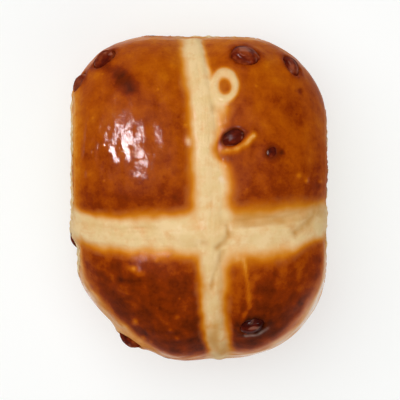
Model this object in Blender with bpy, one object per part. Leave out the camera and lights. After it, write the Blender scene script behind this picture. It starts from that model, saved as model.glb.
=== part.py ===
"""Hot cross bun: one glazed fruit bun, baked in a tray with others, with a piped flour-paste cross and raisins.

Run it with blender --background --python part.py, or from Blender's text editor.
Units are metres and +Z is up. The origin is on the surface that the bun stands on, under the middle of its box.
The front, -Y, was free in the oven and is round. The left, right and back touched other buns and are squarer.
"""

import math

import bmesh
import bpy
import numpy as np
from mathutils import Matrix, Vector

MM = 0.001
GAP = 0.3 * MM  # free room between two pieces that touch

# The dough, as it would have risen alone.
LEFT_WIDTH = 39.9 * MM  # from the middle to each side
RIGHT_WIDTH = 38.8 * MM
FRONT_LENGTH = 45.9 * MM
BACK_LENGTH = 47.2 * MM
CROWN_HEIGHT = 46.6 * MM
WIDEST_HEIGHT = 18.0 * MM  # where the sides stand out most
BASE_SINK = 6.0 * MM  # how far the round underside would reach below the base if the base weren't flat
BACK_LEFT_CURVE = 3.0  # superellipse powers of the outline seen from above: 2 is an ellipse, 4 is nearly a box
BACK_RIGHT_CURVE = 2.8
FRONT_LEFT_CURVE = 1.85
FRONT_RIGHT_CURVE = 2.6
FREE_DOME = 2.25  # and of the side view, above the widest line
SHOULDER_DOME = 2.6
FREE_UNDERSIDE = 2.8  # and below it
PRESSED_UNDERSIDE = 3.8

# The neighbours in the tray pressed three sides flat, at these distances from the middle.
SIDE_WALL = 35.6 * MM
BACK_WALL = 45.9 * MM
WALL_SOFTNESS = 0.8 * MM

SIDE_CUTS = 15  # cuts across each face of the cube that the dough starts from
PASTE_CUTS = 27  # and of the one that the paste's top comes from

# The piped cross, which lies in a valley between the four puffed quarters.
VALLEY_DEPTH = 2.6 * MM
VALLEY_REACH = 8.0 * MM
PASTE_CREST = 0.9 * MM  # how far the middle of a strip stands above the valley
PASTE_EDGE = -0.4 * MM  # and its edges, which lie under the crust
PASTE_DEPTH = 1.6 * MM  # how deep the paste lies in the dough
LONG_STRIP_HALF = 3.5 * MM
SHORT_STRIP_HALF = 4.4 * MM
STRIP_STEPS = 18
STRIP_WIDTH_STEPS = 5
FRONT_END = 11.0 * MM  # height at which each arm of the cross stops on its side
BACK_END = 24.0 * MM
LEFT_END = 23.0 * MM
RIGHT_END = 25.0 * MM
ABOVE_ALL = 60.0 * MM

# The thin curl of paste that the piping bag left beside the long strip.
CURL_THREAD = 1.05 * MM
CURL_CENTRE = (7.3 * MM, 32.3 * MM)
CURL_RADIUS = (2.9 * MM, 3.6 * MM)
CURL_POINTS = 14

# Soft mounds over fruit that stays under the crust: place seen from above, reach and height.
MOUNDS = (
    (-20.2 * MM, 33.6 * MM, 4.2 * MM, 1.3 * MM),
    (-18.6 * MM, -19.6 * MM, 4.6 * MM, 1.0 * MM),
    (20.0 * MM, 12.8 * MM, 3.0 * MM, 0.5 * MM),
)

# Raisins that show: half length, half width, half thickness, heading in degrees, and how far the middle lies under
# the skin. Those on the crown are placed by x and y, those on the sides by azimuth in degrees and height.
CROWN_RAISINS = (
    ("raisin_back_right", 12.6 * MM, 40.6 * MM, (4.4 * MM, 3.6 * MM, 2.8 * MM), -25, 1.0 * MM),
    ("raisin_by_strip", 8.7 * MM, 17.9 * MM, (3.7 * MM, 2.5 * MM, 2.4 * MM), 20, 1.3 * MM),
    ("raisin_small", 19.5 * MM, 14.0 * MM, (2.3 * MM, 2.1 * MM, 1.8 * MM), 60, 1.3 * MM),
    ("raisin_right_corner", 25.6 * MM, 37.6 * MM, (3.9 * MM, 2.9 * MM, 2.5 * MM), 115, 1.1 * MM),
    ("raisin_front_right", 14.1 * MM, -34.6 * MM, (4.0 * MM, 2.9 * MM, 2.6 * MM), 25, 1.3 * MM),
)
SIDE_RAISINS = (
    ("raisin_left_corner", 124, 30.0 * MM, (3.9 * MM, 3.0 * MM, 2.6 * MM), 10, 0.7 * MM),
    ("raisin_left_shoulder", 135.5, 27.0 * MM, (3.4 * MM, 2.6 * MM, 2.3 * MM), -30, 1.0 * MM),
    ("raisin_front_left", 244, 22.0 * MM, (4.2 * MM, 3.3 * MM, 2.9 * MM), 35, 0.6 * MM),
    ("raisin_front_low", 258, 11.5 * MM, (3.9 * MM, 3.0 * MM, 2.6 * MM), 5, 1.5 * MM),
    ("raisin_right_side", 4, 15.0 * MM, (4.0 * MM, 3.1 * MM, 2.7 * MM), 60, 2.0 * MM),
    ("raisin_left_side", 196, 14.0 * MM, (4.2 * MM, 3.2 * MM, 2.8 * MM), -40, 2.1 * MM),
    ("raisin_back_side", 106, 15.0 * MM, (3.8 * MM, 3.1 * MM, 2.6 * MM), 20, 1.9 * MM),
)
RAISIN_SEGMENTS = 11
RAISIN_RINGS = 7

CRUST_COLOUR = (0.36, 0.085, 0.010, 1.0)
PASTE_COLOUR = (0.82, 0.58, 0.29, 1.0)
RAISIN_COLOUR = (0.075, 0.016, 0.008, 1.0)


def clear_scene():
    for obj in list(bpy.data.objects):
        bpy.data.objects.remove(obj)


def collection(name, helpers=False):
    made = bpy.data.collections.new(name)
    made.hide_render = helpers
    bpy.context.scene.collection.children.link(made)
    return made


def material(name, colour, roughness, coat=0.0):
    made = bpy.data.materials.new(name)
    made.use_nodes = True
    shader = made.node_tree.nodes["Principled BSDF"]
    shader.inputs["Base Color"].default_value = colour
    shader.inputs["Roughness"].default_value = roughness
    shader.inputs["Metallic"].default_value = 0.0
    shader.inputs["Coat Weight"].default_value = coat
    return made


def smooth_step(low, high, value):
    """0 below low, 1 above high, and smooth between them. With low above high it runs the other way."""
    share = np.clip((value - low) / (high - low), 0.0, 1.0)
    return share * share * (3.0 - 2.0 * share)


# ---------------------------------------------------------------- the shape of the dough


def long_strip_x(y):
    """Where the middle of the front-to-back strip lies: it leans to the right towards the front."""
    return 2.5 * MM - 0.077 * y + 0.7 * MM * np.sin(y / (13.0 * MM))


def short_strip_y(x):
    """Where the middle of the left-to-right strip lies: in front of the middle, its ends curving back."""
    return -8.2 * MM + 0.03 * x + 2.8 * MM * (x / RIGHT_WIDTH) ** 4


def outline_radius(cosine, sine):
    """How far the outline lies from the middle, for each direction seen from above."""
    rightness = smooth_step(-0.4, 0.4, cosine)
    front_curve = FRONT_LEFT_CURVE + (FRONT_RIGHT_CURVE - FRONT_LEFT_CURVE) * rightness
    back_curve = BACK_LEFT_CURVE + (BACK_RIGHT_CURVE - BACK_LEFT_CURVE) * rightness
    power = back_curve + (front_curve - back_curve) * smooth_step(0.35, -0.45, sine)
    width = np.where(cosine > 0.0, RIGHT_WIDTH, LEFT_WIDTH)
    length = np.where(sine > 0.0, BACK_LENGTH, FRONT_LENGTH)
    return (abs(cosine / width) ** power + abs(sine / length) ** power) ** (-1.0 / power)


def pressed(distance, wall):
    """A distance from the middle, kept behind a wall: it follows the smaller of the two, with a soft corner."""
    return wall - WALL_SOFTNESS * np.logaddexp(0.0, (wall - distance) / WALL_SOFTNESS)


def strip_bulge(x, y):
    """How near each point is to the middle of a strip: 1 on it, falling to 0 at the strip's edges, then below 0."""
    long_share = 1.0 - (abs(x - long_strip_x(y)) / LONG_STRIP_HALF) ** 2
    short_share = 1.0 - (abs(y - short_strip_y(x)) / SHORT_STRIP_HALF) ** 2
    return np.maximum(long_share, short_share)


def valley(x, y):
    """Depth of the valley that the cross lies in."""
    long_side = np.exp(-(((x - long_strip_x(y)) / VALLEY_REACH) ** 2))
    short_side = np.exp(-(((y - short_strip_y(x)) / VALLEY_REACH) ** 2))
    return VALLEY_DEPTH * (1.0 - (1.0 - long_side) * (1.0 - short_side))


def mounds(x, y):
    """Height of the soft mounds over hidden fruit."""
    total = np.zeros_like(x)
    for centre_x, centre_y, reach, height in MOUNDS:
        total += height * np.exp(-((x - centre_x) ** 2 + (y - centre_y) ** 2) / reach**2)
    return total


def dough_points(directions, extra):
    """The dough's skin moved out by extra(x, y), one point for each unit direction from the middle.

    Seen from above a point lies along its own direction, a share of the outline's radius away. That share and the
    height follow a superellipse from the crown down to the widest line, and another from there to the base.
    """
    x, y, z = directions.T
    x = x + 1e-9  # so that straight up and straight down still have an azimuth
    flat = np.hypot(x, y)
    cosine, sine = x / flat, y / flat
    free = smooth_step(-0.2, -0.75, sine)
    dome = SHOULDER_DOME + (FREE_DOME - SHOULDER_DOME) * free
    underside = PRESSED_UNDERSIDE + (FREE_UNDERSIDE - PRESSED_UNDERSIDE) * free
    power = np.where(z > 0.0, dome, underside)
    scale = (flat**power + abs(z) ** power) ** (-1.0 / power)
    share = flat * scale
    rise = abs(z) * scale
    height = np.where(
        z > 0.0,
        WIDEST_HEIGHT + (CROWN_HEIGHT - WIDEST_HEIGHT) * rise,
        WIDEST_HEIGHT - (WIDEST_HEIGHT + BASE_SINK) * rise,
    )
    radius = outline_radius(cosine, sine) * share
    points = np.stack([radius * cosine, radius * sine, height], axis=1)

    outward = points - np.array([0.0, 0.0, WIDEST_HEIGHT])
    outward /= np.array([RIGHT_WIDTH, FRONT_LENGTH, CROWN_HEIGHT - WIDEST_HEIGHT]) ** 2
    outward /= np.linalg.norm(outward, axis=1, keepdims=True)
    above_base = smooth_step(8.0 * MM, 32.0 * MM, points[:, 2])
    relief = (mounds(points[:, 0], points[:, 1]) - valley(points[:, 0], points[:, 1])) * above_base
    points += outward * relief[:, None]
    points[:, 0] = np.sign(points[:, 0]) * pressed(abs(points[:, 0]), SIDE_WALL)
    points[:, 1] = np.where(points[:, 1] > 0.0, pressed(points[:, 1], BACK_WALL), points[:, 1])
    points += outward * extra(points[:, 0], points[:, 1])[:, None]
    points[:, 2] = np.maximum(points[:, 2], 0.0)
    return points


def dough_blank(name, group, extra, cuts=SIDE_CUTS):
    """A closed dough shape: a cube cut into a grid, blown up to a ball and then shaped."""
    mesh = bpy.data.meshes.new(name)
    shape = bmesh.new()
    bmesh.ops.create_cube(shape, size=2.0)
    bmesh.ops.subdivide_edges(shape, edges=shape.edges[:], cuts=cuts, use_grid_fill=True)
    corners = np.array([vertex.co for vertex in shape.verts])
    even = np.tan(corners * (math.pi / 4.0))  # spreads the grid evenly over the ball
    directions = even / np.linalg.norm(even, axis=1, keepdims=True)
    for vertex, place in zip(shape.verts, dough_points(directions, extra)):
        vertex.co = place
    base = [face for face in shape.faces if all(vertex.co.z < 0.001 * MM for vertex in face.verts)]
    bmesh.ops.dissolve_faces(shape, faces=base)
    shape.to_mesh(mesh)
    shape.free()
    made = bpy.data.objects.new(name, mesh)
    group.objects.link(made)
    return made


# ---------------------------------------------------------------- the paste cross


def strip_prism(name, group, centre_line, half_width, half_length, ends, turned):
    """An upright wall over one strip's path, as tall as everything that it is joined or cut with.

    It's a box with cuts along its length and width. turned runs it along X rather than Y. ends gives the heights of
    its foot at the two ends, where the foot is a half circle, so that each arm ends round.
    """
    shape = bmesh.new()
    bmesh.ops.create_cube(shape, size=2.0)
    for axis, cuts in ((1, STRIP_STEPS), (0, STRIP_WIDTH_STEPS)):
        along = [edge for edge in shape.edges if abs(edge.verts[0].co[axis] - edge.verts[1].co[axis]) > 1.0]
        bmesh.ops.subdivide_edges(shape, edges=along, cuts=cuts, use_grid_fill=True)
    for vertex in shape.verts:
        side, station, level = vertex.co
        run = station * half_length
        across = centre_line(run) + side * half_width
        foot = ends[0] if station < 0.0 else ends[1]
        foot += 0.6 * half_width * (1.0 - math.sqrt(max(0.0, 1.0 - side * side)))
        height = ABOVE_ALL if level > 0.0 else foot
        vertex.co = (run, across, height) if turned else (across, run, height)
    if turned:  # swapping X and Y turned the box inside out
        bmesh.ops.reverse_faces(shape, faces=shape.faces[:])
    mesh = bpy.data.meshes.new(name)
    shape.to_mesh(mesh)
    shape.free()
    made = bpy.data.objects.new(name, mesh)
    group.objects.link(made)
    return made


def boolean(obj, operation, other):
    modifier = obj.modifiers.new(f"{operation.lower()} {other.name}", "BOOLEAN")
    modifier.operation = operation
    modifier.object = other
    modifier.solver = "EXACT"


def crossed_prisms(name, group, wider):
    """Both strips' walls as one, each wider by the same amount on all sides."""
    ends_long = (FRONT_END - wider, BACK_END - wider)
    ends_short = (LEFT_END - wider, RIGHT_END - wider)
    reach = 1.3  # past the dough's sides
    long_wall = strip_prism(
        name, group, long_strip_x, LONG_STRIP_HALF + wider, FRONT_LENGTH * reach, ends_long, turned=False
    )
    short_wall = strip_prism(
        name + "_short", group, short_strip_y, SHORT_STRIP_HALF + wider, RIGHT_WIDTH * reach, ends_short, turned=True
    )
    boolean(long_wall, "UNION", short_wall)
    return long_wall


def paste_height(x, y):
    """How far the top of the paste stands out of the dough's skin."""
    return PASTE_EDGE + (PASTE_CREST - PASTE_EDGE) * np.clip(strip_bulge(x, y), 0.0, 1.0) ** 0.7


def curl_thread(group):
    """The curl of paste: a thin thread that leaves the long strip, turns once and comes back to it."""
    curve = bpy.data.curves.new("curl", "CURVE")
    curve.dimensions = "3D"
    curve.bevel_depth = CURL_THREAD
    curve.bevel_resolution = 1
    curve.use_fill_caps = True
    spline = curve.splines.new("POLY")
    spline.points.add(CURL_POINTS - 1)
    skin = dough_blank("skin_guide", group, lambda x, y: 0.0 * x)
    for index, point in enumerate(spline.points):
        share = index / (CURL_POINTS - 1)
        angle = math.radians(140.0 - 280.0 * share)
        x = CURL_CENTRE[0] + CURL_RADIUS[0] * math.cos(angle)
        y = CURL_CENTRE[1] + CURL_RADIUS[1] * math.sin(angle)
        if share in (0.0, 1.0):  # both ends lie inside the strip
            x = long_strip_x(y) + 0.45 * LONG_STRIP_HALF
        _, place, normal, _ = skin.ray_cast(Vector((x, y, ABOVE_ALL)), Vector((0.0, 0.0, -1.0)))
        point.co = (*(place + normal * (CURL_THREAD + GAP)), 1.0)
    thread = bpy.data.objects.new("curl_curve", curve)
    group.objects.link(thread)
    bpy.context.view_layer.update()
    mesh = bpy.data.meshes.new_from_object(thread.evaluated_get(bpy.context.evaluated_depsgraph_get()))
    shape = bmesh.new()
    shape.from_mesh(mesh)
    bmesh.ops.remove_doubles(shape, verts=shape.verts[:], dist=0.01 * MM)
    bmesh.ops.recalc_face_normals(shape, faces=shape.faces[:])
    shape.to_mesh(mesh)
    shape.free()
    bpy.data.objects.remove(thread)
    made = bpy.data.objects.new("curl", mesh)
    group.objects.link(made)
    return made


def paste_cross(parts, cutters):
    """The cross: what lies between the paste's top and its bed, inside the two strips' walls."""
    cross = crossed_prisms("cross", cutters, 0.0)
    cutters.objects.unlink(cross)
    parts.objects.link(cross)
    top = dough_blank("paste_top", cutters, paste_height, cuts=PASTE_CUTS)
    bed = dough_blank("paste_bed", cutters, lambda x, y: 0.0 * x - PASTE_DEPTH)
    boolean(cross, "INTERSECT", top)
    boolean(cross, "DIFFERENCE", bed)
    boolean(cross, "UNION", curl_thread(cutters))
    return cross


def paste_channel(cutters):
    """The groove that the cross lies in, with the gap all round."""
    channel = crossed_prisms("channel", cutters, GAP)
    floor = dough_blank("channel_floor", cutters, lambda x, y: 0.0 * x - PASTE_DEPTH - GAP)
    boolean(channel, "DIFFERENCE", floor)
    return channel


# ---------------------------------------------------------------- the raisins


def raisin_shape(name, group, radii, seed, swell):
    """A wrinkled dried grape: a ball whose radius rises and falls along its length and round it."""
    mesh = bpy.data.meshes.new(name)
    shape = bmesh.new()
    bmesh.ops.create_uvsphere(shape, u_segments=RAISIN_SEGMENTS, v_segments=RAISIN_RINGS, radius=1.0)
    for vertex in shape.verts:
        turn = math.atan2(vertex.co.y, vertex.co.x)
        folds = 0.07 * math.sin(3.0 * turn + seed) + 0.05 * math.sin(5.0 * turn - 2.0 * seed + 3.0 * vertex.co.z)
        radius = 1.0 + folds * math.hypot(vertex.co.x, vertex.co.y)
        # The ball's poles are the raisin's two ends, so that the folds run along it.
        vertex.co = (
            vertex.co.z * radius * (radii[0] + swell),
            vertex.co.x * radius * (radii[1] + swell),
            vertex.co.y * radius * (radii[2] + swell),
        )
    shape.to_mesh(mesh)
    shape.free()
    made = bpy.data.objects.new(name, mesh)
    group.objects.link(made)
    return made


def seated(skin, origin, aim, heading, sunk):
    """The placing of a raisin whose middle lies under the skin, its thickness along the skin's normal."""
    _, place, normal, _ = skin.ray_cast(origin, aim)
    level = Vector((-origin.y, origin.x, 0.0)) if abs(aim.z) < 0.5 else Vector((1.0, 0.0, 0.0))
    along = (level - normal * level.dot(normal)).normalized()
    across = normal.cross(along)
    turn = Matrix((along, across, normal)).transposed().to_4x4()
    return Matrix.Translation(place - normal * sunk) @ turn @ Matrix.Rotation(math.radians(heading), 4, "Z")


def raisins(parts, cutters, skin):
    """Every raisin with the cutter that makes its pocket, as pairs."""
    far = 4.0 * FRONT_LENGTH
    rows = []
    for name, x, y, radii, heading, sunk in CROWN_RAISINS:
        rows.append((name, radii, seated(skin, Vector((x, y, far)), Vector((0.0, 0.0, -1.0)), heading, sunk)))
    for name, azimuth, height, radii, heading, sunk in SIDE_RAISINS:
        out = Vector((math.cos(math.radians(azimuth)), math.sin(math.radians(azimuth)), 0.0))
        origin = out * far + Vector((0.0, 0.0, height))
        rows.append((name, radii, seated(skin, origin, -out, heading, sunk)))
    pairs = []
    for number, (name, radii, placing) in enumerate(rows):
        fruit = raisin_shape(name, parts, radii, number * 1.7, 0.0)
        pocket = raisin_shape(name + "_pocket", cutters, radii, number * 1.7, GAP * 1.3)
        fruit.matrix_world = placing
        pocket.matrix_world = placing
        pairs.append((fruit, pocket))
    return pairs


def finish(obj, look, sharp_angle):
    obj.data.materials.clear()
    obj.data.materials.append(look)
    obj.data.shade_smooth()
    obj.data.set_sharp_from_angle(angle=math.radians(sharp_angle))


def main():
    clear_scene()
    parts = collection("hot_cross_bun")
    cutters = collection("cutters", helpers=True)
    crust = material("crust", CRUST_COLOUR, 0.3, coat=0.8)
    paste = material("paste", PASTE_COLOUR, 0.6)
    fruit = material("raisin", RAISIN_COLOUR, 0.4)

    bun = dough_blank("bun", parts, lambda x, y: 0.0 * x)
    bpy.context.view_layer.update()
    pairs = raisins(parts, cutters, bun)
    cross = paste_cross(parts, cutters)
    boolean(bun, "DIFFERENCE", paste_channel(cutters))
    for raisin, pocket in pairs:
        boolean(bun, "DIFFERENCE", pocket)
        finish(raisin, fruit, 60.0)
    finish(bun, crust, 40.0)
    finish(cross, paste, 40.0)
    for helper in cutters.objects:
        helper.hide_render = True
        helper.display_type = "WIRE"


main()
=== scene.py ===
"""The looks of a hot cross bun: glazed crust, torn sides, flour-paste cross and raisins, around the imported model.

Shapes are worked out with numpy in millimetres, as whole arrays, and put into meshes in metres.
"""

import math

import bpy
import numpy as np
from mathutils import Matrix, Vector


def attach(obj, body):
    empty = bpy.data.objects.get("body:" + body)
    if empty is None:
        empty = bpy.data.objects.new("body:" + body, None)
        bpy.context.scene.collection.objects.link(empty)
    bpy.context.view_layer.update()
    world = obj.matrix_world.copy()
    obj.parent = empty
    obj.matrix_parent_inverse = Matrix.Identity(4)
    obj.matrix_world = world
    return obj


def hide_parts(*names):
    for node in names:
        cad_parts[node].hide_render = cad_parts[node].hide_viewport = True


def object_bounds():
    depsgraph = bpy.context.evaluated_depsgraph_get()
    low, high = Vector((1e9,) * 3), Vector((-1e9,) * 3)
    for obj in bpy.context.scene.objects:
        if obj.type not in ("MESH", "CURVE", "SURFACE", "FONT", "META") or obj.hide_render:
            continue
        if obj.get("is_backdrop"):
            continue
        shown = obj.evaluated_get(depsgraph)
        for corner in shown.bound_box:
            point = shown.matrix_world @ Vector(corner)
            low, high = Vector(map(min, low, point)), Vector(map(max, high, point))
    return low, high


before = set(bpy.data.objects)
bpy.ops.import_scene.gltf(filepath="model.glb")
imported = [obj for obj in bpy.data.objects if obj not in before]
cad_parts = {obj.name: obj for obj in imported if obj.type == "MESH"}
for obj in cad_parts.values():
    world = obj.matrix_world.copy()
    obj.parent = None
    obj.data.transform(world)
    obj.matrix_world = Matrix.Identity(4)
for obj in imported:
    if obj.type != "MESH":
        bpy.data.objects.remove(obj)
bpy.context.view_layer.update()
MM = 0.001

# ------------------------- the dough's form, in millimetres

LEFT_WIDTH = 39.9
RIGHT_WIDTH = 38.8
FRONT_LENGTH = 45.9
BACK_LENGTH = 47.2
CROWN_HEIGHT = 46.6
WIDEST_HEIGHT = 18.0
BASE_SINK = 6.0
BACK_LEFT_CURVE = 3.0
BACK_RIGHT_CURVE = 2.8
FRONT_LEFT_CURVE = 1.85
FRONT_RIGHT_CURVE = 2.6
FREE_DOME = 2.25
SHOULDER_DOME = 2.6
FREE_UNDERSIDE = 2.8
PRESSED_UNDERSIDE = 3.8
SIDE_WALL = 35.6
LEFT_WAIST = 1.7
BACK_WALL = 45.9
WALL_SOFTNESS = 0.8
VALLEY_DEPTH = 2.6
VALLEY_REACH = 8.0
# A point inside the dough that every part of its skin faces away from.
HEART = np.array([0.0, 0.0, 15.0])

# How many cells each side of the ball grid has, for the crust and for a raisin.
CRUST_STEPS = 127
RAISIN_STEPS = 26

# Soft mounds over hidden fruit: x, y, reach, height.
MOUNDS = ((-20.2, 33.6, 4.2, 1.3), (-18.6, -19.6, 4.6, 1.0), (20.0, 12.8, 3.0, 0.5))

# ------------------------- numbers and noise


def smooth_step(low, high, value):
    """0 below low, 1 above high and smooth between, as 3t^2 - 2t^3. With low above high it runs the other way."""
    share = np.clip((value - low) / (high - low), 0.0, 1.0)
    return share * share * (3.0 - 2.0 * share)


def bell(value, width):
    """A bell curve, exp(-(value / width)^2)."""
    return np.exp(-((value / width) ** 2))


def mix(a, b, share):
    """From a at share 0 to b at share 1, in a straight line."""
    return a + (b - a) * share


def lattice(cell, seed):
    """A random whole number below 2^32 for each cell of a grid: the cell's indices mixed by multiplying."""
    x, y, z = (cell[:, axis].astype(np.uint64) for axis in range(3))
    mixed = x * np.uint64(73856093) ^ y * np.uint64(19349663) ^ z * np.uint64(83492791)
    mixed = (mixed ^ np.uint64(seed * 2654435 + 97)) & np.uint64(0xFFFFFFFF)
    for factor in (2246822519, 3266489917):
        mixed = ((mixed ^ (mixed >> np.uint64(15))) * np.uint64(factor)) & np.uint64(0xFFFFFFFF)
    return mixed ^ (mixed >> np.uint64(16))


def noise(points, size, seed):
    """Gradient noise, about -1 to 1, whose lumps are size apart.

    Each corner of a grid of cubes has a random slope. Each corner's slope times the way to it, blended by
    6t^5 - 15t^4 + 10t^3 along each axis, gives the value. size may be one number or one for each axis.
    """
    place = points / np.asarray(size, float) + 1000.0
    cell = np.floor(place).astype(np.int64)
    offset = place - cell
    fade = offset**3 * (offset * (offset * 6.0 - 15.0) + 10.0)
    total = np.zeros(len(points))
    for corner in np.ndindex(2, 2, 2):
        code = lattice(cell + np.array(corner), seed)
        slope = np.stack([(code >> np.uint64(shift)) & np.uint64(1023) for shift in (0, 10, 20)], axis=1)
        slope = slope.astype(float) / 511.5 - 1.0
        weight = np.prod(np.where(np.array(corner) == 1, fade, 1.0 - fade), axis=1)
        total += weight * np.sum(slope * (offset - corner), axis=1)
    return total * 1.4


def fractal(points, size, seed, octaves=4):
    """Noise with octaves: each next one is half as large and half as strong."""
    size = np.asarray(size, float)
    return sum(noise(points, size / 2**k, seed + 17 * k) / 2**k for k in range(octaves))


# ------------------------- meshes


def ball_grid(steps):
    """Unit directions spread over a ball, and the quads between them.

    The six faces of a cube are each a grid of steps by steps cells. Shared edges are welded by each point's whole
    numbers, and tan(a pi / 4) spreads the grid evenly before it is blown up to the ball.
    """
    u, v = np.meshgrid(np.arange(steps + 1), np.arange(steps + 1), indexing="ij")
    faces, corners = [], []
    index = np.arange((steps + 1) ** 2).reshape(steps + 1, steps + 1)
    quads = np.stack([index[:-1, :-1], index[1:, :-1], index[1:, 1:], index[:-1, 1:]], axis=-1).reshape(-1, 4)
    for axis in range(3):
        for side in (0, steps):
            cube = np.empty((steps + 1, steps + 1, 3), np.int64)
            cube[..., axis] = side
            cube[..., (axis + 1) % 3] = u
            cube[..., (axis + 2) % 3] = v
            faces.append((quads if side else quads[:, ::-1]) + len(corners) * (steps + 1) ** 2)
            corners.append(cube.reshape(-1, 3))
    whole, place = np.unique(np.concatenate(corners), axis=0, return_inverse=True)
    even = np.tan((whole * 2.0 / steps - 1.0) * (math.pi / 4.0))
    return even / np.linalg.norm(even, axis=1, keepdims=True), place.reshape(-1)[np.concatenate(faces)]


def vertex_normals(points, quads):
    """Each point's normal: the sum of its quads' normals, each the cross product of the quad's diagonals."""
    across = np.cross(points[quads[:, 2]] - points[quads[:, 0]], points[quads[:, 3]] - points[quads[:, 1]])
    total = np.zeros_like(points)
    for corner in range(4):
        np.add.at(total, quads[:, corner], across)
    return total / np.maximum(np.linalg.norm(total, axis=1, keepdims=True), 1e-12)


def make_mesh(name, points, quads, **fields):
    """A smooth mesh object at the origin, from points in millimetres. Each field becomes a number on every point."""
    mesh = bpy.data.meshes.new(name)
    mesh.vertices.add(len(points))
    mesh.vertices.foreach_set("co", (points * MM).astype(np.float32).ravel())
    mesh.loops.add(quads.size)
    mesh.loops.foreach_set("vertex_index", quads.astype(np.int32).ravel())
    mesh.polygons.add(len(quads))
    mesh.polygons.foreach_set("loop_start", np.arange(len(quads), dtype=np.int32) * quads.shape[1])
    mesh.update(calc_edges=True)
    mesh.validate()
    mesh.shade_smooth()
    for key, values in fields.items():
        layer = mesh.attributes.new(key, "FLOAT", "POINT")
        layer.data.foreach_set("value", np.asarray(values, np.float32))
    piece = bpy.data.objects.new(name, mesh)
    bpy.context.scene.collection.objects.link(piece)
    return piece


# ------------------------- the dough's skin


def outline_radius(cosine, sine):
    """How far the outline lies from the middle in each direction seen from above: a superellipse by quarters."""
    rightness = smooth_step(-0.4, 0.4, cosine)
    front_curve = mix(FRONT_LEFT_CURVE, FRONT_RIGHT_CURVE, rightness)
    back_curve = mix(BACK_LEFT_CURVE, BACK_RIGHT_CURVE, rightness)
    power = mix(back_curve, front_curve, smooth_step(0.35, -0.45, sine))
    width = np.where(cosine > 0.0, RIGHT_WIDTH, LEFT_WIDTH)
    length = np.where(sine > 0.0, BACK_LENGTH, FRONT_LENGTH)
    return (abs(cosine / width) ** power + abs(sine / length) ** power) ** (-1.0 / power)


def pressed(distance, wall):
    """A distance kept behind a wall with a soft corner: wall - s ln(1 + exp((wall - distance) / s))."""
    return wall - WALL_SOFTNESS * np.logaddexp(0.0, (wall - distance) / WALL_SOFTNESS)


def long_strip_x(y):
    """The front-to-back strip's middle line: a slanted line with a slight wave."""
    return 2.5 - 0.077 * y + 0.7 * np.sin(y / 13.0)


def short_strip_y(x):
    """The left-to-right strip's middle line: nearly straight, and bent back at its ends by a fourth power."""
    return -8.2 + 0.03 * x + 2.8 * (x / RIGHT_WIDTH) ** 4


def valley(x, y):
    """Depth of the valley that the cross lies in: a bell across each strip, joined where they cross."""
    long_side = bell(x - long_strip_x(y), VALLEY_REACH)
    short_side = bell(y - short_strip_y(x), VALLEY_REACH)
    return VALLEY_DEPTH * (1.0 - (1.0 - long_side) * (1.0 - short_side))


def dough_skin(directions):
    """Points of the dough's skin, one for each direction, and how many millimetres a neighbour pressed each one in.

    share^p + rise^p = 1 links how far out a point lies along its azimuth and how far it is up or down from the
    widest line. The valley and the mounds are added outwards, and three sides are then pressed flat.
    """
    x, y, z = directions.T
    x = x + 1e-9
    flat = np.hypot(x, y)
    cosine, sine = x / flat, y / flat
    free = smooth_step(-0.2, -0.75, sine)
    dome = mix(SHOULDER_DOME, FREE_DOME, free)
    underside = mix(PRESSED_UNDERSIDE, FREE_UNDERSIDE, free)
    power = np.where(z > 0.0, dome, underside)
    scale = (flat**power + abs(z) ** power) ** (-1.0 / power)
    share, rise = flat * scale, abs(z) * scale
    height = np.where(
        z > 0.0,
        WIDEST_HEIGHT + (CROWN_HEIGHT - WIDEST_HEIGHT) * rise,
        WIDEST_HEIGHT - (WIDEST_HEIGHT + BASE_SINK) * rise,
    )
    radius = outline_radius(cosine, sine) * share
    loose = np.stack([radius * cosine, radius * sine, height], axis=1)
    outward = loose - np.array([0.0, 0.0, WIDEST_HEIGHT])
    outward /= np.array([RIGHT_WIDTH, FRONT_LENGTH, CROWN_HEIGHT - WIDEST_HEIGHT]) ** 2
    outward /= np.linalg.norm(outward, axis=1, keepdims=True)
    relief = -valley(loose[:, 0], loose[:, 1])
    for centre_x, centre_y, reach, rise_by in MOUNDS:
        relief += rise_by * bell(np.hypot(loose[:, 0] - centre_x, loose[:, 1] - centre_y), reach)
    loose += outward * (relief * smooth_step(8.0, 32.0, loose[:, 2]))[:, None]
    points = loose.copy()
    waist = LEFT_WAIST * smooth_step(-9.5, -13.5, loose[:, 1]) * (loose[:, 0] < 0.0)
    points[:, 0] = np.sign(loose[:, 0]) * pressed(abs(loose[:, 0]), SIDE_WALL - waist)
    points[:, 1] = np.where(loose[:, 1] > 0.0, pressed(loose[:, 1], BACK_WALL), loose[:, 1])
    crush = np.linalg.norm(loose - points, axis=1)
    points[:, 2] = np.maximum(points[:, 2], 0.0)
    return points, crush


def base_share(height, facing):
    """1 on the flat base, where the normal points down just above the floor, and 0 elsewhere."""
    return smooth_step(-0.75, -0.97, facing) * smooth_step(1.6, 0.3, height)


# ------------------------- the paste's form and how its colour fades

# How far each strip's raised paste reaches to the two sides of its middle line, at stations along it.
LONG_HALVES = (
    (-46.0, -41.0, -34.0, -21.0, -14.0, 0.0, 19.0, 36.0, 46.0),
    (2.2, 3.4, 3.8, 3.4, 3.6, 4.4, 4.3, 4.0, 3.2),
    (1.6, 2.2, 2.4, 3.3, 3.2, 3.9, 3.2, 2.6, 2.6),
)
SHORT_HALVES = (
    (-36.0, -20.0, -8.0, 0.0, 14.0, 22.0, 30.0, 36.0),
    (4.1, 4.6, 4.9, 5.1, 4.8, 4.9, 4.4, 4.0),
    (4.2, 4.3, 4.0, 3.4, 2.6, 3.4, 4.0, 4.2),
)
CURL_CENTRE = (6.6, 32.3)
CURL_RADIUS = (2.9, 3.7)
CURL_HALF = 1.4
LONG_RISE = 0.8
SHORT_RISE = 0.65
CURL_RISE = 0.55
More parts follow.
